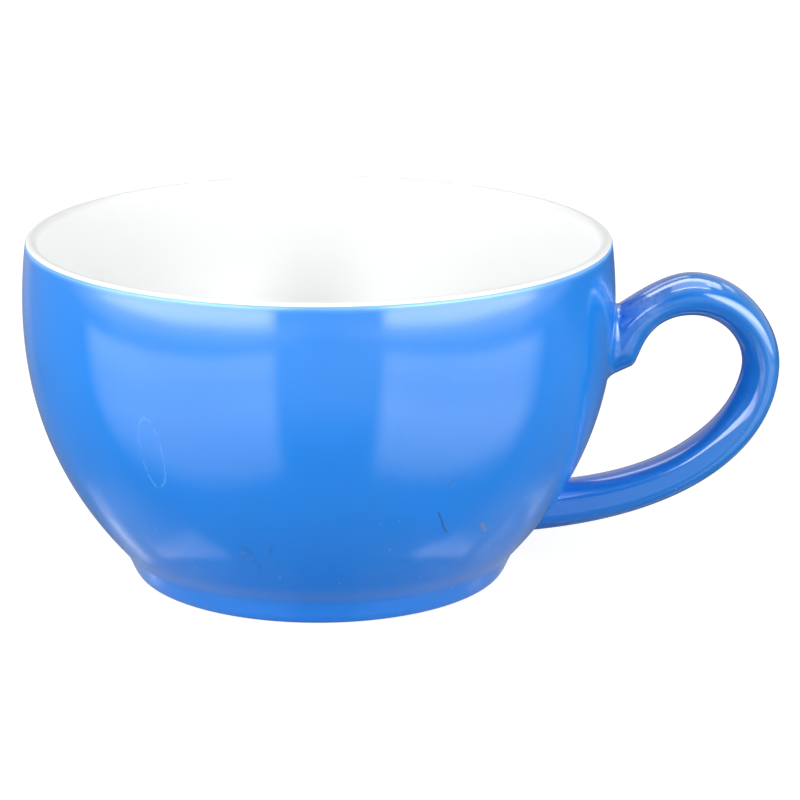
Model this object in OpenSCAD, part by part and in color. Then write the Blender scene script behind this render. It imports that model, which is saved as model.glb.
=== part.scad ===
// Large cappuccino cup: a turned porcelain bowl on a low foot ring, a cast ear handle luted on
// with slip, and glaze in two colours. Millimetres. The axis of the bowl is Z, the table is Z = 0
// and the handle points along +X.

/* [Bowl] */
// Diameter over the glaze at the lip
rim_d = 110; // [96:1:126]
// Height from the table to the top of the lip
cup_h = 65; // [58:0.5:78]
// Thickness of the rounded lip over the glaze
lip_t = 2.4; // [2:0.1:3.2]
// Thickness of the clay wall below the lip
wall_t = 4.2; // [3:0.1:5.5]
// Thickness of the clay floor
floor_t = 4.6; // [3.5:0.1:6.5]
// Radius of the flat middle of the inside floor
floor_flat_r = 16; // [8:0.5:22]
// How far the upper wall swells out past the lip
swell = 3.2; // [1:0.1:5]
// How far below the lip the swell is set
swell_drop = 26.2; // [20:0.1:32]
// How far the lower wall is set in from the swell
belly_in = 7.2; // [4:0.1:11]
// Height at which the lower wall is set in
belly_z = 19.8; // [16:0.1:24]

/* [Foot] */
// Diameter of the crease where the bowl meets the foot
crease_d = 75.6; // [70:0.1:80]
// Height of the crease above the table
crease_z = 5.2; // [4.2:0.1:5.6]
// Diameter of the foot ring where it joins the bowl
foot_d = 73.4; // [68:0.1:76]
// Height of the foot ring
foot_h = 3; // [2.2:0.1:3.8]
// Width of the foot ring where it joins the bowl
foot_w = 7; // [5:0.1:10]
// Outer diameter of the bare face that the cup stands on
stand_d = 68.4; // [64:0.1:70]
// Width of the bare face that the cup stands on
stand_w = 2.6; // [1.5:0.1:4]
// Size of the fillet where the foot ring meets the underside of the bowl
recess_fillet = 3; // [1:0.1:5]

/* [Handle] */
// Width of the handle over the glaze, across the finger
handle_w = 11; // [8:0.1:15]
// Angle by which the widest line of the handle lies towards its back, below the crown
handle_lean = 14; // [0:1:20]
// How far the handle reaches out past the lip
handle_reach = 32.5; // [27:0.5:42]
// How far the top of the crown lies out past the lip
crown_out = 15.5; // [12:0.5:20]
// How far the top of the crown lies below the lip
crown_drop = 7.8; // [3:0.1:11]
// Thickness of the handle at the crown, over the glaze
crown_t = 8; // [6:0.1:9.5]
// Thickness of the handle at its outermost bend, over the glaze
bend_t = 7; // [5:0.1:8.5]
// How far the outermost bend lies below the crown
bend_drop = 17.6; // [14:0.1:22]
// How far the top of the upper root lies below the lip
root_top_drop = 14.5; // [13:0.1:16]
// Slope of the handle's back where it leaves the upper root
root_slope = 31; // [24:1:38]
// How far the underside of the upper root lies below the lip
toe_drop = 28.2; // [26:0.1:31]
// Slope of the underside of the upper root
toe_slope = 29; // [20:1:36]
// How far the rounded toe under the upper root stands out past the lip
toe_out = 6.2; // [5:0.1:8]
// How far the toe's upper end lies below the lip
toe_end_drop = 22; // [19:0.1:24]
// Slope of the toe's upper end
toe_end_slope = 67; // [58:1:74]
// Height of the underside of the lower root
low_root_z = 6.6; // [6.3:0.1:8]
// Height of the top of the lower root
low_root_top_z = 16.1; // [14:0.1:19]
// Slope at which the lower arm runs into the bowl
low_slope = 5; // [0:1:9]
// Size of the slip fillet round the upper root
upper_fillet = 2; // [0.8:0.1:2.2]
// Size of the slip fillet round the lower root
lower_fillet = 0.9; // [0.5:0.1:1]

/* [Glaze] */
// Thickness of the fired glaze
glaze_t = 0.3; // [0.2:0.05:0.5]
// Angle up the round of the lip at which the white glaze meets the blue
lip_line = 35; // [15:1:75]
// Share of the foot's rounded edges that is wiped bare
bare_share = 0.45; // [0.3:0.05:0.7]

/* [Hidden] */
$fn = 96;

// Sizes of the clay under its glaze
rim_r = rim_d / 2 - glaze_t;
lip_r = lip_t / 2 - glaze_t;
lip_z = cup_h - glaze_t - lip_r;
crease_r = crease_d / 2 - glaze_t;
foot_r = foot_d / 2 - glaze_t;
foot_in_r = foot_r - foot_w;
stand_r = stand_d / 2;
stand_in_r = stand_r - stand_w;
floor_z = foot_h + floor_t;

// Steps along the curves of the profile
wall_steps = 40;
edge_steps = 8;
floor_steps = 12;
// Share of the wall's curve that the inside wall follows before it turns into the floor
inside_from = 0.2;
// Share of the wall's curve above which the wall thins towards the lip
thin_from = 0.5;

// Curves
function bez2(a, b, c, t) = a * pow(1 - t, 2) + b * 2 * (1 - t) * t + c * t * t;
function bez3(a, b, c, d, t) = bez2(a, b, c, t) * (1 - t) + bez2(b, c, d, t) * t;
function heading(angle) = [cos(angle), sin(angle)];
function ease(t) = t * t * (3 - 2 * t);
function unit(v) = v / norm(v);
function reverse(list) = [for (i = [len(list) - 1:-1:0]) list[i]];
function slice(list, from, to) = [for (i = [from:to]) list[i]];

// The direction out of the clay at point i of a profile, on the right of the way it runs
function out_of(path, i) =
    let (along = unit(path[min(i + 1, len(path) - 1)] - path[max(i - 1, 0)]))
    [along.y, -along.x];
function outset(path, d) = [for (i = [0:len(path) - 1]) path[i] + d * out_of(path, i)];

// The outside of the clay, from the standing face up to the lip
crease = [crease_r, crease_z];
belly = [rim_r + swell - belly_in, belly_z];
shoulder = [rim_r + swell, lip_z - swell_drop];
lip_side = [rim_r, lip_z];
foot_edge = [for (i = [0:edge_steps])
    bez2([stand_r, 0], [(stand_r + foot_r) / 2, 0], [foot_r, foot_h], i / edge_steps)];
wall = [for (i = [0:wall_steps]) bez3(crease, belly, shoulder, lip_side, i / wall_steps)];

// The round of the lip, and the angle at which the two glazes meet on it
lip_mid = [rim_r - lip_r, lip_z];
function lip(from, to) =
    [for (i = [1:edge_steps]) lip_mid + lip_r * heading(from + (to - from) * i / edge_steps)];

// The inside of the clay, from the lip down to the middle of the floor
function thickness(t) =
    t < thin_from ? wall_t
    : wall_t + (2 * lip_r - wall_t) * ease((t - thin_from) / (1 - thin_from));
inside_first = wall_steps - 2;
inside_last = round(inside_from * wall_steps);
inside = [for (i = [inside_first:-1:inside_last])
    wall[i] - thickness(i / wall_steps) * out_of(wall, i)];
inside_end = inside[len(inside) - 1];
fall = unit(wall[inside_last - 1] - wall[inside_last + 1]);
floor_bend = inside_end + fall * (floor_z - inside_end.y) / fall.y;
floor_curve = [for (i = [1:floor_steps])
    bez2(inside_end, floor_bend, [floor_flat_r, floor_z], i / floor_steps)];

// The whole glazed profile, and the points at which its parts begin
foot_bare = round(bare_share * edge_steps);
glazed_foot = slice(foot_edge, foot_bare, edge_steps);
outside = concat(glazed_foot, wall, lip(0, lip_line));
lining = concat(lip(lip_line, 180), inside, floor_curve, [[0, floor_z]]);
profile = concat(outside, lining);
coat = outset(profile, glaze_t);
meet = len(outside) - 1;

// The underside within the foot ring, from the axis out to the bare edge
recess_bend = [foot_in_r, foot_h / 2];
recess = [for (i = [0:edge_steps])
    bez2([foot_in_r - recess_fillet, foot_h], [foot_in_r, foot_h], recess_bend, i / edge_steps)];
foot_inside = [for (i = [1:edge_steps])
    bez2(recess_bend, [foot_in_r, 0], [stand_in_r, 0], i / edge_steps)];
underside = concat([[0, foot_h]], recess,
                   slice(foot_inside, 0, edge_steps - 1 - foot_bare));

// Radius of the wall at a height: of the clay, or of the glaze over it
wall_first = len(glazed_foot);
clay_table = [for (p = wall) [p.y, p.x]];
glaze_table = [for (i = [wall_first:wall_first + wall_steps]) [coat[i].y, coat[i].x]];
function wall_r(z, glazed) = lookup(z, glazed ? glaze_table : clay_table);
function on_wall(y, z, glazed) = [sqrt(pow(wall_r(z, glazed), 2) - y * y), y, z];
function is_outside(p, glazed) = norm([p.x, p.y]) > wall_r(p.z, glazed);

// The handle's back and belly are two rails in the XZ plane. Each knot of a rail is a point and
// the slope there; each span has the shares of its chord over which it keeps its two slopes.
// Both rails run on inside the wall, where they are trimmed away.
tenon = 4;
lip_edge = rim_d / 2;
crown = [lip_edge + crown_out, cup_h - crown_drop];
bend = [lip_edge + handle_reach, crown.y - bend_drop];
function root(z) = [wall_r(z, true), z];
back_root = root(cup_h - root_top_drop);
toe_root = root(cup_h - toe_drop);
toe_end = [lip_edge + toe_out, cup_h - toe_end_drop];
low_root = root(low_root_z);
low_root_top = root(low_root_top_z);
root_in = tenon * heading(root_slope);
low_in = tenon * heading(180 + low_slope);
straight = [1 / 3, 1 / 3];
back_knots = [[back_root - 2 * root_in, root_slope], [back_root - root_in, root_slope],
              [back_root, root_slope], [crown, 0], [bend, -90],
              [low_root, 180 + low_slope], [low_root + low_in, 180 + low_slope]];
back_pulls = [straight, straight, [0.22, 0.34], [0.37, 0.35], [0.25, 0.6], straight];
belly_knots = [[toe_root - tenon * heading(toe_slope), toe_slope], [toe_root, toe_slope],
               [toe_end, toe_end_slope], [crown - [0, crown_t], 0], [bend - [bend_t, 0], -90],
               [low_root_top, 180 + low_slope], [low_root_top + low_in, 180 + low_slope]];
belly_pulls = [straight, [0.8, 0.6], [0.58, 0.18], [0.4, 0.36], [0.08, 0.74], straight];
last_knot = len(back_knots) - 1;

function rail(knots, pulls, u) =
    let (i = min(floor(u), last_knot - 1), a = knots[i], b = knots[i + 1],
         chord = norm(b[0] - a[0]))
    bez3(a[0], a[0] + pulls[i][0] * chord * heading(a[1]),
         b[0] - pulls[i][1] * chord * heading(b[1]), b[0], u - i);

// A point of the handle: u runs along it and the angle round its oval section
crown_knot = 3;
function lean(u) = handle_lean * min(1, max(0, u - crown_knot));
function skin(u, angle, inset) =
    let (back = rail(back_knots, back_pulls, u), front = rail(belly_knots, belly_pulls, u),
         half = (back - front) / 2,
         p = (back + front) / 2 + half * (1 - inset / norm(half)) * cos(angle))
    [p.x, (handle_w / 2 - inset) * sin(angle + lean(u) * sin(angle)), p.y];

// Where a line of the handle passes the wall, and where it is a given way on from there
halvings = 20;
function crossing(angle, glazed, within, beyond, n = halvings) =
    let (mid = (within + beyond) / 2)
    n == 0 ? mid
    : is_outside(skin(mid, angle, glazed ? 0 : glaze_t), glazed)
        ? crossing(angle, glazed, within, mid, n - 1)
        : crossing(angle, glazed, mid, beyond, n - 1);
function along(angle, inset, start, way, near, far, n = halvings) =
    let (mid = (near + far) / 2)
    n == 0 ? mid
    : norm(skin(mid, angle, inset) - skin(start, angle, inset)) > way
        ? along(angle, inset, start, way, near, mid, n - 1)
        : along(angle, inset, start, way, mid, far, n - 1);

// Every line has its own stretch between the two walls. Each search starts at a buried end of
// the rails and stops, counted in knots, where every line has left the wall.
upper_ends = [0, 2.6];
lower_ends = [last_knot, last_knot - 1.5];
sides = 24;
grip_rings = 40;
fillet_steps = 3;
angles = [for (i = [0:sides - 1]) 360 * i / sides];

// One root of the handle: the ring on the wall, the ring where the fillet ends on the handle and
// the ring where it ends on the wall, which clay and glaze share when seen along X
function root_at(ends, glazed) = [for (a = angles) crossing(a, glazed, ends[0], ends[1])];
function fillet_end(ends, fillet, glazed, starts) =
    [for (i = [0:sides - 1])
        along(angles[i], glazed ? 0 : glaze_t, starts[i], fillet, starts[i], ends[1])];
function ring(at, inset) = [for (i = [0:sides - 1]) skin(at[i], angles[i], inset)];
function spread(points, fillet, glazed) =
    let (turn = points[0].z > points[sides / 2].z ? -1 : 1)
    [for (i = [0:sides - 1])
        let (before = points[(i + sides - 1) % sides], after = points[(i + 1) % sides],
             side = turn * fillet * unit([after.y - before.y, after.z - before.z]))
        on_wall(points[i].y + side.y, points[i].z - side.x, glazed)];
function same_place(points, glazed) = [for (p = points) on_wall(p.y, p.z, glazed)];
function fillet_rings(feet, corners, tops) =
    [for (k = [0:fillet_steps])
        [for (i = [0:sides - 1]) bez2(feet[i], corners[i], tops[i], k / fillet_steps)]];
function between(from, to) =
    [for (k = [1:grip_rings - 1]) from + (to - from) * k / grip_rings];

clay_up = root_at(upper_ends, false);
clay_up_end = fillet_end(upper_ends, upper_fillet, false, clay_up);
clay_low = root_at(lower_ends, false);
clay_low_end = fillet_end(lower_ends, lower_fillet, false, clay_low);
glaze_up = root_at(upper_ends, true);
glaze_up_end = fillet_end(upper_ends, upper_fillet, true, glaze_up);
glaze_low = root_at(lower_ends, true);
glaze_low_end = fillet_end(lower_ends, lower_fillet, true, glaze_low);

up_foot = spread(ring(clay_up, glaze_t), upper_fillet, false);
low_foot = spread(ring(clay_low, glaze_t), lower_fillet, false);
up_slip = fillet_rings(up_foot, ring(clay_up, glaze_t), ring(clay_up_end, glaze_t));
low_slip = fillet_rings(low_foot, ring(clay_low, glaze_t), ring(clay_low_end, glaze_t));
up_cover = fillet_rings(same_place(up_foot, true), ring(glaze_up, 0), ring(glaze_up_end, 0));
low_cover = fillet_rings(same_place(low_foot, true), ring(glaze_low, 0), ring(glaze_low_end, 0));
grip_clay = [for (at = between(clay_up_end, clay_low_end)) ring(at, glaze_t)];
grip_cover = [for (at = between(glaze_up_end, glaze_low_end)) ring(at, 0)];

// Skins through rings of points: closed into a loop, or capped at both ends on the wall. Each
// quad is split along its shorter diagonal, so skins that share their points share their faces.
function flat(lists) = [for (list = lists) each list];
function quad(points, a, b, c, d) =
    norm(points[a] - points[c]) < norm(points[b] - points[d])
        ? [[a, b, c], [a, c, d]]
        : [[a, b, d], [b, c, d]];
function side_faces(points, count, first, closed) =
    [for (k = [0:count - (closed ? 1 : 2)], i = [0:sides - 1])
        let (a = first + k * sides, b = first + (k + 1) % count * sides, j = (i + 1) % sides)
        each quad(points, a + i, a + j, b + j, b + i)];

module loop_skin(rings) {
    points = flat(rings);
    polyhedron(points, side_faces(points, len(rings), 0, true));
}

cap_rings = 3;
function cap(points) =
    let (middle = [0, (points[0].z + points[sides / 2].z) / 2])
    [for (k = [1:cap_rings - 1])
        [for (p = points)
            let (q = middle + ([p.y, p.z] - middle) * k / cap_rings) on_wall(q.x, q.y, false)]];
function cap_middle(points) = on_wall(0, (points[0].z + points[sides / 2].z) / 2, false);

module capped_skin(rings) {
    first = rings[0];
    last = rings[len(rings) - 1];
    all_rings = concat(cap(first), rings, reverse(cap(last)));
    end = 1 + len(all_rings) * sides;
    points = concat([cap_middle(first)], flat(all_rings), [cap_middle(last)]);
    start_fan = [for (i = [0:sides - 1]) [0, 1 + (i + 1) % sides, 1 + i]];
    end_fan = [for (i = [0:sides - 1]) [end, end - sides + i, end - sides + (i + 1) % sides]];
    walls = side_faces(points, len(all_rings), 1, false);
    polyhedron(points, concat(start_fan, walls, end_fan));
}

// A layer of glaze over part of a profile
module layer(under, over) {
    rotate_extrude() polygon(concat(under, reverse(over)));
}

// The hole that a root of the handle leaves in the glaze of the bowl
module root_hole(foot) {
    rotate([90, 0, 90])
        linear_extrude(lip_edge + handle_reach)
            polygon([for (p = foot) [p.y, p.z]]);
}

// The clay of the bowl, from the joint with the foot ring to the lip
module bowl() {
    color("white")
        rotate_extrude()
            polygon(concat([[0, foot_h], [foot_r, foot_h]], wall, lip(0, lip_line), lining));
}

// The ring that the cup stands on
module foot_ring() {
    color("ivory")
        rotate_extrude()
            polygon(concat(foot_edge, recess, foot_inside));
}

// The clay of the handle, cut at both ends to sit on the wall
module handle() {
    color("white")
        capped_skin(concat([ring(clay_up, glaze_t), ring(clay_up_end, glaze_t)], grip_clay,
                           [ring(clay_low_end, glaze_t), ring(clay_low, glaze_t)]));
}

// The slip that squeezes out round each root and is wiped to a fillet
module upper_joint_slip() {
    color("gainsboro") loop_skin(concat(up_slip, [ring(clay_up, glaze_t)]));
}

module lower_joint_slip() {
    color("gainsboro") loop_skin(reverse(concat(low_slip, [ring(clay_low, glaze_t)])));
}

// White glaze over the inside and the lip
module liner_glaze() {
    last = len(profile) - 1;
    color("whitesmoke") layer(slice(profile, meet, last), slice(coat, meet, last));
}

// Blue glaze over the outside of the bowl and foot
module outer_glaze() {
    color("dodgerblue")
        difference() {
            layer(slice(profile, 0, meet), slice(coat, 0, meet));
            root_hole(up_foot);
            root_hole(low_foot);
        }
}

// Blue glaze under the base, within the foot ring
module base_glaze() {
    color("dodgerblue") layer(underside, outset(underside, glaze_t));
}

// Blue glaze over the handle and its fillets
module handle_glaze() {
    clay = concat(up_slip, grip_clay, reverse(low_slip));
    cover = concat(up_cover, grip_cover, reverse(low_cover));
    color("royalblue") loop_skin(concat(cover, reverse(clay)));
}

bowl();
foot_ring();
handle();
upper_joint_slip();
lower_joint_slip();
liner_glaze();
outer_glaze();
base_glaze();
handle_glaze();
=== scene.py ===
# %% [markdown]
# A cappuccino cup in two glazes.
# The real cup is porcelain: a turned bowl on a low foot ring, and a cast handle stuck on with slip.
# Little of that clay shows in the end. What the eye sees is glaze, blue outside and white inside, and
# the bare ring that the cup stands on. So this lesson keeps the packed bowl, handle and slip as they
# are, and models the skins over them finely enough to carry clean reflections.

import math
from functools import lru_cache

import bmesh
import bpy
import numpy as np
from mathutils import Matrix, Vector


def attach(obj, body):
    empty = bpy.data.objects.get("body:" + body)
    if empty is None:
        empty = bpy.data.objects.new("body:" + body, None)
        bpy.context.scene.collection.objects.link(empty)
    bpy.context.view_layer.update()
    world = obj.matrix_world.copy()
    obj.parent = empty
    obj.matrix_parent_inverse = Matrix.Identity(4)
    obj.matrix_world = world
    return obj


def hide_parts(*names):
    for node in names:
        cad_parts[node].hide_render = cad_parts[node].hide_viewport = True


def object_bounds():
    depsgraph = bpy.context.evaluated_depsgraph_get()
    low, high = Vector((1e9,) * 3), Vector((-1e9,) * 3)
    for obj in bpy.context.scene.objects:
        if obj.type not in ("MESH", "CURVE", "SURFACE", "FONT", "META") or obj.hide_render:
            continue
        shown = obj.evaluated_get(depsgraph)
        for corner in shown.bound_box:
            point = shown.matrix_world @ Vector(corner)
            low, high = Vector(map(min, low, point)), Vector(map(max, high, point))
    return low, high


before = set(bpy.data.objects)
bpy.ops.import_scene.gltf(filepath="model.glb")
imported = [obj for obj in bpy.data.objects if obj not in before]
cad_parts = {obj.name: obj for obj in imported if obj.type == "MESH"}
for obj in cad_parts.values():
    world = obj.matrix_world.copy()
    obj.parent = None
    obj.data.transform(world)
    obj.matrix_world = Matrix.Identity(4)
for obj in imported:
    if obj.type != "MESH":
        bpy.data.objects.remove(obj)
cad_low, cad_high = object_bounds()
MM = 0.001
print("CAD box, mm:", [round(x / MM, 1) for x in cad_high - cad_low])

# %% [markdown]
# The profile of the bowl.
# A potter cuts a bowl from one profile, so the script starts with the same line: radius and height in
# millimetres, from the edge of the foot up to the lip, over it and down inside. The wall is one long
# curve with two pulls, as the belly has no flat and no corner. Splines drawn by eye would do as well,
# but a curve of four named points can be changed by hand.

# %% The outside of the clay
CUP_HEIGHT = cad_high.z / MM
GLAZE = 0.3
LIP_ROUND = 0.9
WALL_STEPS = 90
ARC_STEPS = 14

crease = Vector((37.5, 5.2))
belly_pull = Vector((50.7, 19.8))
shoulder_pull = Vector((57.9, 37.6))
lip_side = Vector((54.7, CUP_HEIGHT - GLAZE - LIP_ROUND))
foot_top = Vector((36.4, 3.0))
foot_edge_pull = Vector((35.3, 0.0))
stand_edge = Vector((34.2, 0.0))


def cubic(a, b, c, d, t):
    """The point at share t of a curve from a to d, pulled towards b and c."""
    ab, bc, cd = a.lerp(b, t), b.lerp(c, t), c.lerp(d, t)
    return ab.lerp(bc, t).lerp(bc.lerp(cd, t), t)


def bend(a, b, c, steps):
    """Points from a to c round the corner b."""
    return [a.lerp(b, i / steps).lerp(b.lerp(c, i / steps), i / steps) for i in range(steps + 1)]


wall = [cubic(crease, belly_pull, shoulder_pull, lip_side, i / WALL_STEPS) for i in range(WALL_STEPS + 1)]
foot_edge = bend(stand_edge, foot_edge_pull, foot_top, 2 * ARC_STEPS)
print("widest wall, mm:", round(2 * max(p.x for p in wall) + 2 * GLAZE, 2))

# %% The lip
LIP_LINE = math.radians(35)
lip_mid = lip_side - Vector((LIP_ROUND, 0))
wall_lean = math.atan2(shoulder_pull.x - lip_side.x, lip_side.y - shoulder_pull.y)


def lip(start, end):
    """Points round the lip between two angles, after the first."""
    angles = [start + (end - start) * (i + 1) / ARC_STEPS for i in range(ARC_STEPS)]
    return [lip_mid + LIP_ROUND * Vector((math.cos(a), math.sin(a))) for a in angles]


print("wall leans in under the lip, degrees:", round(math.degrees(wall_lean), 1))

# %% The inside of the clay
WALL_THICKNESS = 4.2
THIN_FROM = 0.5
INSIDE_FROM = 0.2
LIP_BLEND = 4
floor_edge = Vector((16.0, 7.6))


def unit_out(path, i):
    """The direction out of the clay at point i of a profile, on the right of the way it runs."""
    along = path[min(i + 1, len(path) - 1)] - path[max(i - 1, 0)]
    return Vector((along.y, -along.x)).normalized()


def ease(x):
    """A smooth step from 0 to 1, level at both ends."""
    x = min(1, max(0, x))
    return x * x * (3 - 2 * x)


def thickness(t):
    """Thickness of the clay wall at share t of its curve: it thins towards the lip."""
    return WALL_THICKNESS + (2 * LIP_ROUND - WALL_THICKNESS) * ease((t - THIN_FROM) / (1 - THIN_FROM))


last_inside = round(INSIDE_FROM * WALL_STEPS)
inside = [wall[i] - thickness(i / WALL_STEPS) * unit_out(wall, i)
          for i in range(WALL_STEPS - LIP_BLEND, last_inside - 1, -1)]
fall = wall[last_inside - 1] - wall[last_inside + 1]
floor_bend = inside[-1] + fall * (floor_edge.y - inside[-1].y) / fall.y
floor_curve = bend(inside[-1], floor_bend, floor_edge, 2 * ARC_STEPS)[1:]
lining = lip(LIP_LINE, math.pi) + inside + floor_curve + [Vector((0, floor_edge.y))]
print("inside floor, mm above the table:", round(floor_edge.y + GLAZE, 2))

# %% [markdown]
# Turned skins.
# Every layer of glaze is a thin solid: its underside follows the clay, and its face lies one glaze
# thickness further out. A surface with a Solidify modifier would do too, but spinning a closed profile
# right round makes both faces and the edges of the layer in one operation. At the bare ring a real glaze
# rolls over to nothing, so there the layer thins out over a short way.

# %% From a profile to a piece
TURN_STEPS = 256
MERGE = 0.0005
SHARP = math.radians(50)


def turn(points):
    """Spin a closed profile of radius and height points right round the upright axis."""
    bm = bmesh.new()
    verts = [bm.verts.new((p.x, 0, p.y)) for p in points]
    edges = [bm.edges.new(pair) for pair in zip(verts, verts[1:] + verts[:1])]
    bmesh.ops.spin(bm, geom=verts + edges, cent=(0, 0, 0), axis=(0, 0, 1), angle=math.tau,
                   steps=TURN_STEPS, use_merge=True)
    return bm


def piece_from(bm, name, slot, *nodes):
    """Close a bmesh in millimetres and make it the object that stands for these nodes."""
    bmesh.ops.remove_doubles(bm, verts=bm.verts, dist=MERGE)
    bmesh.ops.recalc_face_normals(bm, faces=bm.faces)
    bmesh.ops.scale(bm, vec=(MM, MM, MM), verts=bm.verts)
    mesh = bpy.data.meshes.new(name)
    bm.to_mesh(mesh)
    bm.free()
    mesh.shade_smooth()
    mesh.set_sharp_from_angle(angle=SHARP)
    piece = bpy.data.objects.new(name, mesh)
    bpy.context.scene.collection.objects.link(piece)
    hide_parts(*nodes)
    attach(piece, "root")
    print(name, "has", len(mesh.polygons), "faces")
    return piece


print("turning step at the lip, mm:", round(math.tau * lip_side.x / TURN_STEPS, 2))

# %% The profile of a coat of glaze
ROLL = 0.8


def coat(path, roll_start=False, roll_end=False):
    """A closed profile: the clay's line, and back along the face of the glaze over it."""
    way = [0.0]
    for a, b in zip(path, path[1:]):
        way.append(way[-1] + (b - a).length)
    face = []
    for i, p in enumerate(path):
        to_edge = min([1] + [way[i] / ROLL] * roll_start + [(way[-1] - way[i]) / ROLL] * roll_end)
        depth = GLAZE * math.sqrt(1 - (1 - to_edge) ** 2)
        face.append(p + depth * unit_out(path, i))
    return path + face[::-1]


print("glaze thins out over, mm:", ROLL)

# %% The blue glaze of the bowl and foot
CREASE_ROUND = 0.7
CREASE_STEPS = 8
BARE_STEPS = 8
into_crease = foot_top.lerp(crease, 1 - CREASE_ROUND / (crease - foot_top).length)
crease_bend = bend(into_crease, crease, wall[1], CREASE_STEPS)
outside = foot_edge[BARE_STEPS:] + crease_bend + wall[2:] + lip(wall_lean, LIP_LINE)
outer_glaze = piece_from(turn(coat(outside, roll_start=True)), "blue_glaze", "blue_glaze", "outer_glaze")

# %% The white glaze of the inside and the lip
lip_seam = outside[-1:]
liner = piece_from(turn(coat(lip_seam + lining)), "white_glaze", "white_glaze", "liner_glaze")

# %% [markdown]
# The underside.
# Nobody sees it on a table, but the part is judged from all sides. The foot is a ring of bare clay that
# was wiped clean before firing so that it would not stick to the kiln shelf, and blue glaze fills the
# recess inside it. A flat disc would close the base, but a real recess has a fillet and a rolled edge of
# glaze, so both pieces are turned from profiles as well.

# %% The bare foot ring and the glaze in its recess
FOOT_IN = 29.4
STAND_IN = 31.6
RECESS_FILLET = 3.0
BARE_SHARE = 0.45
recess_start = Vector((FOOT_IN - RECESS_FILLET, foot_top.y))
recess_mid = Vector((FOOT_IN, foot_top.y / 2))
recess = bend(recess_start, Vector((FOOT_IN, foot_top.y)), recess_mid, ARC_STEPS)
foot_inside = bend(recess_mid, Vector((FOOT_IN, 0)), Vector((STAND_IN, 0)), ARC_STEPS)[1:]
foot = piece_from(turn(foot_edge + recess + foot_inside), "bare_foot_ring", "bare_foot", "foot_ring")
bare_inside = len(foot_inside) - round(BARE_SHARE * ARC_STEPS)
underside = [Vector((0, foot_top.y))] + recess + foot_inside[:bare_inside]
base = piece_from(turn(coat(underside, roll_end=True)), "base_glaze_skin", "blue_glaze", "base_glaze")

# %% [markdown]
# The handle.
# It was cast in a two-part mould: oval across, thick at the crown, with a flared root above, a rounded
# toe under it, and a flatter belly past the bend. Sweeping one circle along a curve can't give that,
# because back and belly run their own ways. So two rails are drawn, and a flat grid is rolled up between
# them: its width goes round the oval and its length runs from the upper root to the lower one. Each line
# of the grid stops on the wall, where a fillet of slip carries the glaze over.

# %% Helpers for the rails
face_of_wall = [p + GLAZE * unit_out(wall, i) for i, p in enumerate(wall)]
wall_heights = [p.y for p in face_of_wall]
wall_radii = [p.x for p in face_of_wall]


def wall_radius(z):
    """Radius of the glazed wall at a height."""
    return float(np.interp(z, wall_heights, wall_radii))


def on_wall(z):
    """The point of the wall's profile at a height."""
    return Vector((wall_radius(z), z))


def heading(degrees):
    """The direction at an angle above the horizon, in the plane of the handle."""
    return Vector((math.cos(math.radians(degrees)), math.sin(math.radians(degrees))))


print("wall radius at half height, mm:", round(wall_radius(CUP_HEIGHT / 2), 2))

# %% The rails
TENON = 4.0
ROOT_SLOPE = 31
TOE_SLOPE = 29
LOW_SLOPE = 185
STRAIGHT = (1 / 3, 1 / 3)
back_root = on_wall(50.5)
toe_root = on_wall(36.8)
low_root = on_wall(6.6)
low_root_top = on_wall(16.1)
root_in = TENON * heading(ROOT_SLOPE)
low_in = TENON * heading(LOW_SLOPE)
back_knots = [(back_root - 2 * root_in, ROOT_SLOPE), (back_root - root_in, ROOT_SLOPE),
              (back_root, ROOT_SLOPE), (Vector((70.5, 57.2)), 0), (Vector((87.5, 39.6)), -90),
              (low_root, LOW_SLOPE), (low_root + low_in, LOW_SLOPE)]
back_pulls = [STRAIGHT, STRAIGHT, (0.22, 0.34), (0.37, 0.35), (0.25, 0.6), STRAIGHT]
belly_knots = [(toe_root - TENON * heading(TOE_SLOPE), TOE_SLOPE), (toe_root, TOE_SLOPE),
               (Vector((61.2, 43.0)), 67), (Vector((70.5, 49.2)), 0), (Vector((80.5, 39.6)), -90),
               (low_root_top, LOW_SLOPE), (low_root_top + low_in, LOW_SLOPE)]
belly_pulls = [STRAIGHT, (0.8, 0.6), (0.58, 0.18), (0.4, 0.36), (0.08, 0.74), STRAIGHT]
LAST_KNOT = len(back_knots) - 1
CROWN_KNOT, BEND_KNOT = 3, 4


def rail(knots, pulls, u):
    """The point at u knots along a rail."""
    i = min(int(u), LAST_KNOT - 1)
    (a, slope_a), (b, slope_b) = knots[i], knots[i + 1]
    chord = (b - a).length
    return cubic(a, a + pulls[i][0] * chord * heading(slope_a),
                 b - pulls[i][1] * chord * heading(slope_b), b, u - i)


back_crown, belly_crown = back_knots[CROWN_KNOT][0], belly_knots[CROWN_KNOT][0]
print("handle at the crown, mm thick:", round((back_crown - belly_crown).length, 1))

# %% The oval between the rails
HALF_WIDTH = 5.5
WIDEST_NEAR_BACK = math.radians(14)
FLAT_BELLY = 0.62
FLAT_FROM, FLAT_TO = 4.2, 4.6


def skin(u, angle):
    """A point of the handle: u knots along it, at an angle round its oval section."""
    back, belly = rail(back_knots, back_pulls, u), rail(belly_knots, belly_pulls, u)
    side = math.cos(angle)
    if side < 0:
        side = -abs(side) ** (1 - FLAT_BELLY * ease((u - FLAT_FROM) / (FLAT_TO - FLAT_FROM)))
    p = (back + belly) / 2 + (back - belly) / 2 * side
    lean = WIDEST_NEAR_BACK * min(1, max(0, u - CROWN_KNOT))
    return Vector((p.x, HALF_WIDTH * math.sin(angle + lean * math.sin(angle)), p.y))


print("handle reaches, mm:", round(skin(BEND_KNOT, 0).x, 1))

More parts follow.
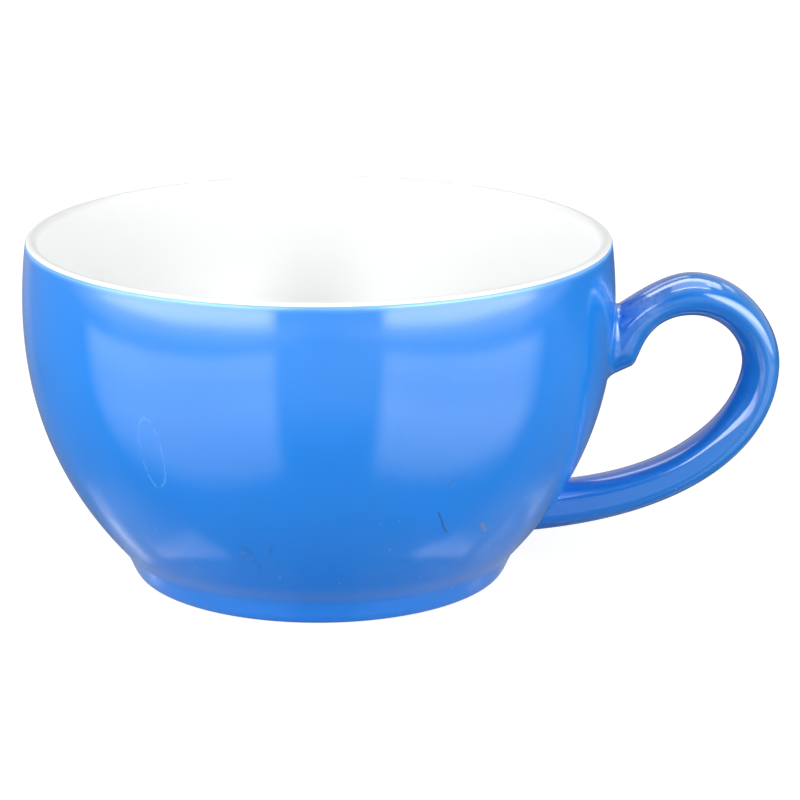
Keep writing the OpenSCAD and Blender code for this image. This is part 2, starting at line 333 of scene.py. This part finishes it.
# %% Trim the lines to the wall
UPPER_FILLET = 2.0
LOWER_FILLET = 0.9
UPPER_SEARCH = (0.0, 2.6)
LOWER_SEARCH = (LAST_KNOT, LAST_KNOT - 1.5)
HALVINGS = 26
TURN_STEP = math.radians(7.5)
SUNK = 0.03


def halve(within, beyond, is_beyond):
    """The value between two at which a test becomes true."""
    for _ in range(HALVINGS):
        mid = (within + beyond) / 2
        within, beyond = (within, mid) if is_beyond(mid) else (mid, beyond)
    return (within + beyond) / 2


@lru_cache(maxsize=None)
def root(angle, search, fillet):
    """Where a line of the handle leaves the wall, and how far along it the fillet ends."""
    def outside_wall(u):
        p = skin(u, angle)
        return math.hypot(p.x, p.y) > wall_radius(p.z)
    start = halve(*search, outside_wall)
    corner = skin(start, angle)
    end = halve(start, search[1], lambda u: (skin(u, angle) - corner).length > fillet)
    return corner, end


def fillet_foot(angle, search, fillet):
    """Where the fillet runs out on the wall, a little under its glaze."""
    before, corner, after = (root(angle + step, search, fillet)[0] for step in (-TURN_STEP, 0, TURN_STEP))
    side = Vector((after.y - before.y, after.z - before.z)).normalized() * fillet
    sign = -1 if search is UPPER_SEARCH else 1
    y, z = corner.y + sign * side.y, corner.z - sign * side.x
    radius = wall_radius(z) - SUNK
    return Vector((math.sqrt(radius * radius - y * y), y, z))


def fillet_point(share, angle, search, fillet):
    """A point of the fillet: share 0 lies on the wall and 1 on the handle."""
    corner, end = root(angle, search, fillet)
    foot_point = fillet_foot(angle, search, fillet)
    return foot_point.lerp(corner, share).lerp(corner.lerp(skin(end, angle), share), share)


print("upper root, mm above the table:", round(root(0.0, UPPER_SEARCH, UPPER_FILLET)[0].z, 2))

# %% Roll the grid up between the rails
SIDES = 72
GRIP_ROWS = 200
FILLET_ROWS = 10
ROWS = GRIP_ROWS + 2 * FILLET_ROWS


def handle_point(row, angle):
    """A point of the glazed handle at a row of the grid."""
    if row <= FILLET_ROWS:
        return fillet_point(row / FILLET_ROWS, angle, UPPER_SEARCH, UPPER_FILLET)
    if row >= ROWS - FILLET_ROWS:
        return fillet_point((ROWS - row) / FILLET_ROWS, angle, LOWER_SEARCH, LOWER_FILLET)
    first = root(angle, UPPER_SEARCH, UPPER_FILLET)[1]
    last = root(angle, LOWER_SEARCH, LOWER_FILLET)[1]
    share = (row - FILLET_ROWS) / GRIP_ROWS
    return skin(first + (last - first) * share, angle)


handle_bm = bmesh.new()
bmesh.ops.create_grid(handle_bm, x_segments=SIDES, y_segments=ROWS, size=1)
for vert in handle_bm.verts:
    row = round((vert.co.y + 1) / 2 * ROWS)
    vert.co = handle_point(row, round(vert.co.x * SIDES / 2) * math.tau / SIDES)
bmesh.ops.remove_doubles(handle_bm, verts=handle_bm.verts, dist=MERGE)
bmesh.ops.recalc_face_normals(handle_bm, faces=handle_bm.faces)
bmesh.ops.solidify(handle_bm, geom=handle_bm.faces, thickness=GLAZE)
handle = piece_from(handle_bm, "handle_glaze_skin", "blue_glaze", "handle_glaze")

# %% [markdown]
# Shader maths.
# A glaze is not one colour: it pales where it runs thin, and carries specks, scratches and scuffs. Those
# are masks, and masks are sums. Adding every Math node by hand would bury the sums in links, so a small
# class wraps a socket and lets them read as sums, and one method adds any other node.

# %% A socket that does sums


class Wire:
    """An output of a node tree. Operators on wires add Math nodes."""

    def __init__(self, tree, socket=None):
        self.tree = tree
        self.socket = socket

    def node(self, kind, settings=None, inputs=None, output=0):
        """Add a node: its settings first, then the values or wires of its sockets."""
        made = self.tree.nodes.new(kind)
        for name, value in (settings or {}).items():
            setattr(made, name, value)
        for name, value in (inputs or {}).items():
            if isinstance(value, Wire):
                self.tree.links.new(value.socket, made.inputs[name])
            else:
                made.inputs[name].default_value = value
        return Wire(self.tree, made.outputs[output])

    def also(self, *outputs):
        """Other outputs of the same node."""
        return [Wire(self.tree, self.socket.node.outputs[output]) for output in outputs]

    def feed(self, node, name):
        """Link the wire to a socket of a node that is there already."""
        self.tree.links.new(self.socket, node.inputs[name])

    def math(self, operation, *values):
        """Add a Math node."""
        return self.node("ShaderNodeMath", {"operation": operation}, dict(enumerate(values)))

    def __add__(self, other):
        return self.math("ADD", self, other)

    def __radd__(self, other):
        return self.math("ADD", other, self)

    def __sub__(self, other):
        return self.math("SUBTRACT", self, other)

    def __rsub__(self, other):
        return self.math("SUBTRACT", other, self)

    def __mul__(self, other):
        return self.math("MULTIPLY", self, other)

    def __rmul__(self, other):
        return self.math("MULTIPLY", other, self)

    def __or__(self, other):
        return self.math("MAXIMUM", self, other)

    def within(self, low, high, softly="SMOOTHSTEP"):
        """How far the value has come from low to high, from 0 to 1."""
        inputs = {"Value": self, "From Min": low, "From Max": high}
        return self.node("ShaderNodeMapRange", {"interpolation_type": softly}, inputs)

    def tint(self, under, over):
        """Mix two colours by this mask."""
        return self.node("ShaderNodeMix", {"data_type": "RGBA"}, {0: self, 6: under, 7: over}, output=2)


print("wires do sums:", [name for name in vars(Wire) if not name.endswith("__")])

# %% A material, its coordinates and its noise


def new_material(name):
    """A node material: its shader, and a wire of the piece's own coordinates in millimetres."""
    material = bpy.data.materials.new(name)
    material.use_nodes = True
    tree = material.node_tree
    place = Wire(tree).node("ShaderNodeTexCoord", output="Object")
    place = place.node("ShaderNodeVectorMath", {"operation": "SCALE"}, {0: place, "Scale": 1 / MM})
    return material, tree.nodes["Principled BSDF"], place


def axes(place):
    """The three coordinates of a place."""
    return place.node("ShaderNodeSeparateXYZ", inputs={0: place}).also("X", "Y", "Z")


def distance(place, point):
    """Millimetres between a place and a point."""
    inputs = {0: place, 1: point}
    return place.node("ShaderNodeVectorMath", {"operation": "DISTANCE"}, inputs, output="Value")


def noise(place, scale, detail):
    """Soft noise with its grain 1 / scale millimetres across."""
    return place.node("ShaderNodeTexNoise", inputs={"Vector": place, "Scale": scale, "Detail": detail})


def bump(height, depth):
    """A normal that stands up by depth millimetres where height is 1."""
    return height.node("ShaderNodeBump", inputs={"Height": height, "Distance": depth * MM})


print("materials so far:", len(bpy.data.materials))

# %% [markdown]
# The blue glaze.
# It is a coloured gloss glaze over white clay. It pales and dulls in the last millimetres under the lip,
# where it ran thin in the kiln, and its surface is never quite flat, which a very low, wide bump gives.
# Pinholes show as pale specks. Use has left dust in the crease over the foot, a rubbed place on the
# handle's upper root, a faint scratched loop on the left of the belly, some dark scuffs, a stain and a
# hairline. Those could be painted on an image, but that needs an unwrapped map and a file beside the
# script, so each is a mask on the cup's own millimetres.

# %% Masks of wear
SPECK_SPACING = 3.4
SPECK_RADIUS = 0.19
STROKE_EDGE, STROKE_CORE = 0.7, 0.2


def stroke(x, z, start, end, width):
    """A mask of a short stroke between two places on the front of the belly."""
    run, rise = end[0] - start[0], end[1] - start[1]
    length = math.hypot(run, rise)
    along = ((x - start[0]) * run + (z - start[1]) * rise) * (1 / length ** 2)
    along = along.within(0, 1, "LINEAR")
    off_x, off_z = x - start[0] - along * run, z - start[1] - along * rise
    return (off_x * off_x + off_z * off_z).within((width * STROKE_EDGE) ** 2, (width * STROKE_CORE) ** 2)


def strokes(x, z, width, *lines):
    """A mask of several lines, each with two places or more."""
    masks = [stroke(x, z, a, b, width) for line in lines for a, b in zip(line, line[1:])]
    joined = masks[0]
    for mask in masks[1:]:
        joined = joined | mask
    return joined


def loop(x, z, mid, half_width, half_height, lean, width):
    """A mask of a narrow scratched loop that leans to the left as it goes up."""
    up = (z - mid[1]) * (1 / half_height)
    across = (x - mid[0] + (z - mid[1]) * lean) * (1 / half_width)
    size = up * up + across * across
    off = size.math("ABSOLUTE", size.math("SQRT", size) - 1)
    return off.within(width / half_width, STROKE_CORE * width / half_width)


def specks(place):
    """A mask of pinholes: small balls strewn through space, cut by the surface."""
    inputs = {"Vector": place, "Scale": 1 / SPECK_SPACING}
    off = place.node("ShaderNodeTexVoronoi", inputs=inputs, output="Distance")
    return off.within(SPECK_RADIUS / SPECK_SPACING, 0.4 * SPECK_RADIUS / SPECK_SPACING)


print("pinholes, mm across:", 2 * SPECK_RADIUS)

# %% Marks of use on the front
PALE_BLUE = (0.14, 0.42, 0.84, 1)
SCUFF = (0.01, 0.06, 0.2, 1)
STAIN = (0.24, 0.2, 0.24, 1)
FRONT_Y = (-10, -20)
WOBBLE = 0.7
LOOP_MID = (-29.5, 35.6)
LOOP_HALF_WIDTH, LOOP_HALF_HEIGHT, LOOP_LEAN = 1.95, 6.8, 0.165
LOOP_LINE, SCUFF_WIDTH, HAIRLINE_WIDTH, SMUDGE_WIDTH, STAIN_WIDTH = 0.14, 0.28, 0.24, 1.6, 0.7
LOOP_SHARE, SCUFF_SHARE, HAIRLINE_SHARE, SMUDGE_SHARE, STAIN_SHARE = 0.32, 0.45, 0.85, 0.18, 0.5
HAIRLINE = [(20.9, 24.8), (21.4, 23.3), (21.8, 21.6), (22.5, 20.1)]
SCUFFS = [[(-14.1, 18.4), (-13.0, 18.1), (-12.0, 17.2)], [(-8.6, 19.3), (-9.0, 17.2)],
          [(-11.0, 14.4), (-11.0, 13.2)], [(22.4, 29.7), (22.9, 30.8), (23.9, 31.5), (25.6, 31.9)]]
SMUDGE_LINE = [(-13.8, 16.8), (-12.4, 16.0)]
STAIN_LINE = [(29.0, 20.3), (29.7, 18.5)]


def blue_wear(place, colour):
    """The glaze's colour with the marks of use on the front, and a mask of where it is dull."""
    x, y, z = axes(place)
    wobble = (noise(place, 0.8, 3.0) - 0.5) * WOBBLE
    x, z, front = x + wobble, z - wobble, y.within(*FRONT_Y)
    broken = noise(place, 0.5, 2.0).within(0.25, 0.5)
    scratch = loop(x, z, LOOP_MID, LOOP_HALF_WIDTH, LOOP_HALF_HEIGHT, LOOP_LEAN, LOOP_LINE)
    scratch = scratch * broken * front
    scuffed = strokes(x, z, SCUFF_WIDTH, *SCUFFS) * front
    cracked = strokes(x, z, HAIRLINE_WIDTH, HAIRLINE) * front
    smudge = strokes(x, z, SMUDGE_WIDTH, SMUDGE_LINE) * front
    stain = strokes(x, z, STAIN_WIDTH, STAIN_LINE) * broken * front
    colour = (scratch * LOOP_SHARE).tint(colour, PALE_BLUE)
    colour = (smudge * SMUDGE_SHARE).tint(colour, SCUFF)
    colour = (stain * STAIN_SHARE).tint(colour, STAIN)
    colour = (scuffed * SCUFF_SHARE | cracked * HAIRLINE_SHARE).tint(colour, SCUFF)
    return colour, scratch | scuffed | cracked | smudge | stain


print("marks:", len(SCUFFS), "scuffs, a loop, a hairline, a smudge and a stain")

# %% Blue glaze material
BLUE = (0.013, 0.23, 0.785, 1)
CLOUDED_BLUE = (0.015, 0.222, 0.745, 1)
# Painted shade: a darker blue for the handle below a height, where it gets less light.
SHADED_BLUE = (0.014, 0.188, 0.6, 1)
SPECK_BLUE = (0.32, 0.58, 0.92, 1)
ROOT_BLUE = (0.2, 0.39, 0.74, 1)
DUST = (0.3, 0.36, 0.46, 1)
THIN_Z = (CUP_HEIGHT - 1.8, CUP_HEIGHT - 0.3)
SHADE_OVER = 9
HANDLE_SHADED_BELOW = 51
ROOT_TOP = (60.5, -2.0, 53.0)
ROOT_RUBBED = (7.0, 2.5)
DUST_FROM_Z, DUST_TO_Z = (4.6, 6.2), (9.5, 6.6)
SPECKS_Z = (30, 14)
BOWL_IOR, BOWL_WAVES = 1.6, 0.03
HANDLE_IOR, HANDLE_WAVES = 1.52, 0.008


def blue_glaze_material(name, shaded_below, ior, waves):
    """Blue gloss glaze: thin at the lip, with painted shade below a height, and with pinholes, dust and wear.
    """
    material, shader, place = new_material(name)
    _, _, z = axes(place)
    cloud = noise(place, 0.05, 3.0)
    thin = (z + (cloud - 0.5) * 0.6).within(*THIN_Z)
    colour = cloud.within(0.3, 0.7).tint(BLUE, CLOUDED_BLUE)
    colour = thin.tint(colour, PALE_BLUE)
    # Painted shade: darker below a height. The bowl's height lies under its foot, so only the handle is
    # darkened.
    colour = z.within(shaded_below + SHADE_OVER, shaded_below).tint(colour, SHADED_BLUE)
    rubbed = distance(place, ROOT_TOP).within(*ROOT_RUBBED) * noise(place, 0.7, 4.0).within(0.3, 0.55)
    colour = (rubbed * 0.6).tint(colour, ROOT_BLUE)
    dust = z.within(*DUST_FROM_Z) * z.within(*DUST_TO_Z)
    colour = (dust * 0.1).tint(colour, DUST)
    colour, dull = blue_wear(place, colour)
    colour = (specks(place) * (0.12 + z.within(*SPECKS_Z) * 0.6)).tint(colour, SPECK_BLUE)
    colour.feed(shader, "Base Color")
    polish = 0.1 + noise(place, 0.25, 4.0) * 0.05
    (polish + dust * 0.08 + dull * 0.25 + thin * 0.25).feed(shader, "Roughness")
    bump(noise(place, 0.07, 1.0), waves).feed(shader, "Normal")
    shader.inputs["IOR"].default_value = ior
    return material


blue = blue_glaze_material("blue_glaze_finish", -SHADE_OVER, BOWL_IOR, BOWL_WAVES)
handle_blue = blue_glaze_material("handle_glaze_finish", HANDLE_SHADED_BELOW, HANDLE_IOR, HANDLE_WAVES)
print("blue glaze nodes:", len(blue.node_tree.nodes))

# %% [markdown]
# The white glaze and the bare clay.
# The white liner is as glossy as the blue, but a spoon dulls it a little from inside, so it mirrors less.
# The bare ring is matt, fine-grained and slightly warm, and grey where it has rubbed on tables. One
# shader could be mixed for both, but they share neither gloss nor grain, so each has its own.

# %% White glaze and bare clay materials
WHITE = (0.92, 0.935, 0.94, 1)
COOL_WHITE = (0.935, 0.94, 0.94, 1)
WHITE_IOR, WHITE_WAVES = 1.4, 0.03
CLAY = (0.8, 0.77, 0.71, 1)
DARK_CLAY = (0.72, 0.69, 0.64, 1)
WORN_CLAY = (0.62, 0.6, 0.57, 1)
CLAY_GRAIN = 0.06
RUBBED_Z = (0.5, 0.0)


def white_glaze_material():
    """White liner glaze, faintly clouded and dulled."""
    material, shader, place = new_material("white_glaze_finish")
    cloud = noise(place, 0.06, 2.0)
    cloud.tint(WHITE, COOL_WHITE).feed(shader, "Base Color")
    (0.25 + noise(place, 0.3, 4.0) * 0.12).feed(shader, "Roughness")
    bump(noise(place, 0.07, 1.0), WHITE_WAVES).feed(shader, "Normal")
    shader.inputs["IOR"].default_value = WHITE_IOR
    return material


def clay_material():
    """Bare fired clay, grey where it rubs on tables."""
    material, shader, place = new_material("bare_clay")
    _, _, z = axes(place)
    grain = noise(place, 1.5, 5.0)
    rubbed = z.within(*RUBBED_Z) * noise(place, 0.2, 3.0).within(0.35, 0.65)
    colour = grain.within(0.35, 0.75).tint(CLAY, DARK_CLAY)
    (rubbed * 0.6).tint(colour, WORN_CLAY).feed(shader, "Base Color")
    (0.8 - rubbed * 0.2).feed(shader, "Roughness")
    bump(grain, CLAY_GRAIN).feed(shader, "Normal")
    return material


white = white_glaze_material()
clay = clay_material()
print("white glaze nodes:", len(white.node_tree.nodes), "clay nodes:", len(clay.node_tree.nodes))

# %% Put the materials on
finishes = [(outer_glaze, blue), (base, blue), (handle, handle_blue), (liner, white), (foot, clay)]
for piece, material in finishes:
    piece.data.materials.append(material)
for name in ("bowl", "handle", "upper_joint_slip", "lower_joint_slip"):
    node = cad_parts[name]
    node.data.materials.clear()
    node.data.materials.append(clay)
print("materials:", [m.name for m in (blue, handle_blue, white, clay)])

# %% [markdown]
# The camera.
# It stands where the photograph was taken, a little above the lip and close to straight on. It could be
# placed by eye, but the outlines only fall on each other if lens, place and angles fit together, so they
# come from one fit to the rim, the wall, the foot and the handle.

# %% Camera
PHOTO_SIZE = 800
FOCAL_PIXELS = 2998.84
SENSOR = 36
CAMERA_AT = Vector((0, -0.55, 0.18905))
PITCH_DOWN = math.radians(15.89)
YAW_RIGHT = math.radians(1.59)
ROLL_LEFT = math.radians(0.25)


def make_camera():
    """The camera at the view of the photograph."""
    data = bpy.data.cameras.new("camera")
    data.sensor_width = SENSOR
    data.lens = FOCAL_PIXELS / PHOTO_SIZE * SENSOR
    data.clip_start = 0.01
    camera = bpy.data.objects.new("camera", data)
    bpy.context.scene.collection.objects.link(camera)
    turn_by = (Matrix.Rotation(-YAW_RIGHT, 4, "Z") @ Matrix.Rotation(math.pi / 2 - PITCH_DOWN, 4, "X")
               @ Matrix.Rotation(ROLL_LEFT, 4, "Z"))
    camera.matrix_world = Matrix.Translation(CAMERA_AT) @ turn_by
    bpy.context.scene.camera = camera
    print("lens, mm:", round(data.lens, 1))


make_camera()

# %% [markdown]
# The studio.
# The cup stands on a glossy white table between two soft boxes, left and right, with a dim gap between
# them for the camera, and a ring of lamps hangs over it. A glossy bowl is a mirror: what draws the light
# on it is what it mirrors, and below its widest line that is the table, with the boxes upside down in it.
# One bright sky would light the cup too, but leave it without form. So the table has a gloss, a painted
# darker tone and some painted pools of light for mirrored rays, and the boxes are soft sheets that only
# reflections see, while plain lamps in the same places and one behind the cup light the colours.

# %% Sheets of the studio and kinds of ray


def stage_sheet(name, size):
    """A flat square of the studio, which is no part of the cup."""
    bm = bmesh.new()
    bmesh.ops.create_grid(bm, x_segments=1, y_segments=1, size=size)
    mesh = bpy.data.meshes.new(name)
    bm.to_mesh(mesh)
    bm.free()
    sheet = bpy.data.objects.new(name, mesh)
    bpy.context.scene.collection.objects.link(sheet)
    return sheet


def rays(wire):
    """Masks of the rays that the camera sees, straight or through glass, and of mirrored ones."""
    camera, through, glossy = wire.node("ShaderNodeLightPath").also(
        "Is Camera Ray", "Is Transmission Ray", "Is Glossy Ray")
    return camera | through, glossy


LEFT_NEAR, LEFT_FAR = Vector((-0.157, -0.575, 0)), Vector((-0.506, 0.025, 0))
RIGHT_NEAR, RIGHT_FAR = Vector((0.2105, -0.531, 0)), Vector((0.462, -0.026, 0))
print("gap for the camera, m:", round((RIGHT_NEAR - LEFT_NEAR).length, 2))

# %% Painted light on the table, which only reflections see
# Each pair runs from dark to lit, in millimetres on the table.
FRONT_OFF, FRONT_TABLE_Y = (80, 190), (-40, -100)
BESIDE_OFF, BESIDE_FRONT_Y, BESIDE_BACK_Y = (80, 58), (-46, -22), (10, -14)
LEFT_SLOPE, LEFT_BOUND, LEFT_X, LEFT_Y = 0.6, (-85, -60), (-50, -90), (30, 90)
BEHIND_BOX = 20
MIRRORED_GLOW = 0.03
FRONT_GLOW = 0.5
SIDE_GLOW = 0.27
LEFT_GLOW = 0.16
FAR_SIDE_GLOW = 1.0


def behind(x, y, near, far):
    """A mask of the table behind the line between two points."""
    out = (far - near).cross(Vector((0, 0, 1))).normalized()
    off = x * out.x + y * out.y - near.dot(out) / MM
    return off.within(0, math.copysign(BEHIND_BOX, near.dot(out)))


def painted_table_light(x, y, off):
    """Painted light on the table for mirrored rays: in front, beside the foot, behind on the left and past
    the boxes.
    """
    in_front = off.within(*FRONT_OFF) * y.within(*FRONT_TABLE_Y)
    beside = off.within(*BESIDE_OFF) * y.within(*BESIDE_FRONT_Y) * y.within(*BESIDE_BACK_Y)
    behind_left = (x + y * LEFT_SLOPE).within(*LEFT_BOUND) * x.within(*LEFT_X) * y.within(*LEFT_Y)
    far_side = behind(x, y, LEFT_NEAR, LEFT_FAR) | behind(x, y, RIGHT_NEAR, RIGHT_FAR)
    glow = MIRRORED_GLOW + in_front * FRONT_GLOW + beside * SIDE_GLOW
    return glow + behind_left * LEFT_GLOW + far_side * FAR_SIDE_GLOW


print("brightest patch of the table:", FAR_SIDE_GLOW)

# %% Table
TABLE_SIZE = 4.0
TABLE_IOR = 2.0
BOUNCING = (0.47, 0.47, 0.47, 1)
# Painted shade: the table's darker tone, which only mirrored rays see.
MIRRORED = (0.15, 0.15, 0.15, 1)
SHOWN = (0.3, 0.3, 0.3, 1)
SHOWN_GLOW = 0.86
FAR_GLOW = 0.16
FAR_OFF = (100, 400)
DULL_Y, DULL_X = (30, 90), (-180, -90)
SOFT_OFF = (140, 60)


def make_table():
    """A pale table that looks white to the camera, takes the cup's shadow and mirrors the boxes, with painted
    shade and painted light for mirrored rays.
    """
    material, _, place = new_material("table")
    seen, glossy = rays(place)
    x, y, _ = axes(place)
    off = distance(place, (0, 0, 0))
    # Mirrored rays see painted pools of light on the table; the camera sees it evenly white.
    glow = seen * (SHOWN_GLOW + FAR_GLOW * off.within(*FAR_OFF)) + glossy * painted_table_light(x, y, off)
    # Painted shade: mirrored rays see the table in a darker tone than the light it bounces.
    tone = seen.tint(glossy.tint(BOUNCING, MIRRORED), SHOWN)
    soft = place.node("ShaderNodeBsdfDiffuse", inputs={"Color": tone})
    gloss = place.node("ShaderNodeBsdfGlossy", inputs={"Roughness": 0.08 + off.within(*SOFT_OFF) * 0.05})
    dull_behind = y.within(*DULL_Y) * x.within(*DULL_X)
    share = glossy * (1 - dull_behind) * place.node("ShaderNodeFresnel", inputs={"IOR": TABLE_IOR})
    face = place.node("ShaderNodeMixShader", inputs={0: share, 1: soft, 2: gloss})
    light = place.node("ShaderNodeEmission", inputs={"Strength": glow})
    whole = place.node("ShaderNodeAddShader", inputs={0: face, 1: light})
    whole.feed(place.tree.nodes["Material Output"], "Surface")
    stage_sheet("table", TABLE_SIZE).data.materials.append(material)
    print("table nodes:", len(place.tree.nodes))


make_table()

# %% World
SKY_FILL = 0.08
SKY_MIRRORED = 0.8


def make_world():
    """White to the camera, pale in reflections, and hardly a light."""
    world = bpy.data.worlds.new("studio")
    world.use_nodes = True
    bpy.context.scene.world = world
    background = world.node_tree.nodes["Background"]
    background.inputs["Color"].default_value = (1, 1, 1, 1)
    seen, glossy = rays(Wire(world.node_tree))
    strength = SKY_FILL + seen * (1 - SKY_FILL) + glossy * (SKY_MIRRORED - SKY_FILL)
    strength.feed(background, "Strength")
    print("world nodes:", len(world.node_tree.nodes))


make_world()

# %% Soft sheets that reflections see
BOX_LOW, BOX_HIGH = 0.026, 0.5
LEVEL_Z = (80, 170)
SOFT_END = 0.12
SLANT = 0.3
CORNER_LIT, CORNER_DARK = 0.28, 0.74


def upright(near, far, low, high):
    """The place of an upright sheet over the line between two points, facing the cup."""
    along = (far - near).normalized()
    out = along.cross(Vector((0, 0, 1)))
    if out.dot(near) > 0:
        along, out = -along, -out
    turn_by = Matrix((along, Vector((0, 0, 1)), -out)).transposed()
    return Matrix.Translation((near + far) / 2 + Vector((0, 0, (low + high) / 2))) @ turn_by.to_4x4()


def soft_sheet(name, near, far, low_level, high_level, lit_to, dark_from):
    """A sheet whose light changes between two levels and fades upwards, sooner at its far end."""
    half = (far - near).length / 2 + SOFT_END / 2
    rise = (BOX_HIGH - BOX_LOW) / 2
    material, _, place = new_material(name)
    x, z, _ = axes(place)
    z = z + (BOX_LOW + rise) / MM
    at = upright(near, far, BOX_LOW, BOX_HIGH)
    outward = x * math.copysign(1, (at.inverted() @ far).x)
    level = low_level + z.within(*LEVEL_Z) * (high_level - low_level)
    level = level * (z + outward * SLANT).within(dark_from / MM, lit_to / MM)
    level = level * (z + outward).within(CORNER_DARK / MM, CORNER_LIT / MM)
    level = level * x.math("ABSOLUTE", x).within(half / MM, (half - SOFT_END) / MM)
    light = place.node("ShaderNodeEmission", inputs={"Strength": level})
    light.feed(place.tree.nodes["Material Output"], "Surface")
    sheet = stage_sheet(name, 1)
    sheet.data.transform(Matrix.Diagonal((half, rise, 1, 1)))
    sheet.matrix_world = at
    sheet.data.materials.append(material)
    sheet.visible_camera = sheet.visible_diffuse = sheet.visible_shadow = False
    print(name, "is", round(2 * half, 2), "m long")


soft_sheet("left_sheet", LEFT_NEAR, LEFT_FAR, low_level=7.6, high_level=11.8, lit_to=0.28, dark_from=0.46)
soft_sheet("right_sheet", RIGHT_NEAR, RIGHT_FAR, low_level=7.1, high_level=14.0, lit_to=0.25, dark_from=0.45)
soft_sheet("front_sheet", LEFT_NEAR, RIGHT_NEAR, low_level=1.2, high_level=0.8, lit_to=0.16, dark_from=0.3)

# %% Lamps
LAMP_HIGH = 0.4
LAMP_BEHIND = 0.02
RING_HEIGHT = 0.5
STRIP_HEIGHT = 0.15
BACK_NEAR, BACK_FAR = Vector((-0.3, 0.55, 0)), Vector((0.3, 0.55, 0))


def lamp(name, place, width, height, radiance, **rays_seen):
    """A flat lamp of an even radiance, at a matrix, which some kinds of ray don't see."""
    data = bpy.data.lights.new(name, "AREA")
    data.shape = "RECTANGLE"
    data.size, data.size_y = width, height
    data.energy = radiance * math.pi * width * height
    light = bpy.data.objects.new(name, data)
    bpy.context.scene.collection.objects.link(light)
    light.matrix_world = place
    light.visible_camera = False
    for ray, shown in rays_seen.items():
        setattr(light, "visible_" + ray, shown)


def side_lamp(name, near, far, radiance):
    """An upright lamp for the colours, which reflections don't see."""
    place = upright(near, far, BOX_LOW, LAMP_HIGH) @ Matrix.Translation((0, 0, LAMP_BEHIND))
    lamp(name, place, (far - near).length, LAMP_HIGH - BOX_LOW, radiance, glossy=False)


def overhead_lamp(name, low, high, radiance, height, **rays_seen):
    """A level lamp between two corners, at a height."""
    (x0, y0), (x1, y1) = low, high
    place = Matrix.Translation(((x0 + x1) / 2, (y0 + y1) / 2, height))
    lamp(name, place, x1 - x0, y1 - y0, radiance, **rays_seen)


side_lamp("left_lamp", LEFT_NEAR, LEFT_FAR, 3.8)
side_lamp("right_lamp", RIGHT_NEAR, RIGHT_FAR, 3.8)
side_lamp("back_lamp", BACK_NEAR, BACK_FAR, 2.2)
overhead_lamp("top_lamp", (-0.36, -0.19), (0.36, 0.3), 0.25, RING_HEIGHT + LAMP_BEHIND, glossy=False)
print("lamps for the colours:", len(bpy.data.lights))

# %% Lamps that only reflections see
GLEAMS = [
    ("ring_left", (-0.36, -0.035), (-0.22, 0.3), 9, RING_HEIGHT),
    ("ring_right", (0.22, 0.01), (0.36, 0.3), 8, RING_HEIGHT),
    ("ring_back", (-0.22, 0.15), (0.22, 0.3), 10, RING_HEIGHT),
    ("back_bar", (-0.56, 0.45), (0.1, 0.63), 3.5, RING_HEIGHT),
    ("back_bar_right", (0.42, 0.3), (0.56, 0.6), 3.0, RING_HEIGHT),
    ("back_spot", (-0.43, 0.48), (-0.33, 0.58), 6, RING_HEIGHT - LAMP_BEHIND),
    ("handle_strip", (0.035, -0.037), (0.11, -0.027), 15, STRIP_HEIGHT),
    ("handle_strip_back", (0.035, -0.027), (0.11, 0.03), 3.5, STRIP_HEIGHT),
    ("handle_strip_front", (0.035, -0.075), (0.11, -0.037), 1.2, STRIP_HEIGHT),
]
for gleam in GLEAMS:
    overhead_lamp(*gleam, diffuse=False)
bpy.context.scene.view_settings.view_transform = "Standard"
print("lamps for reflections:", len(GLEAMS))

# %% [markdown]
# The size.
# The packed cup has its glaze already, so the skins made here must come out no larger.
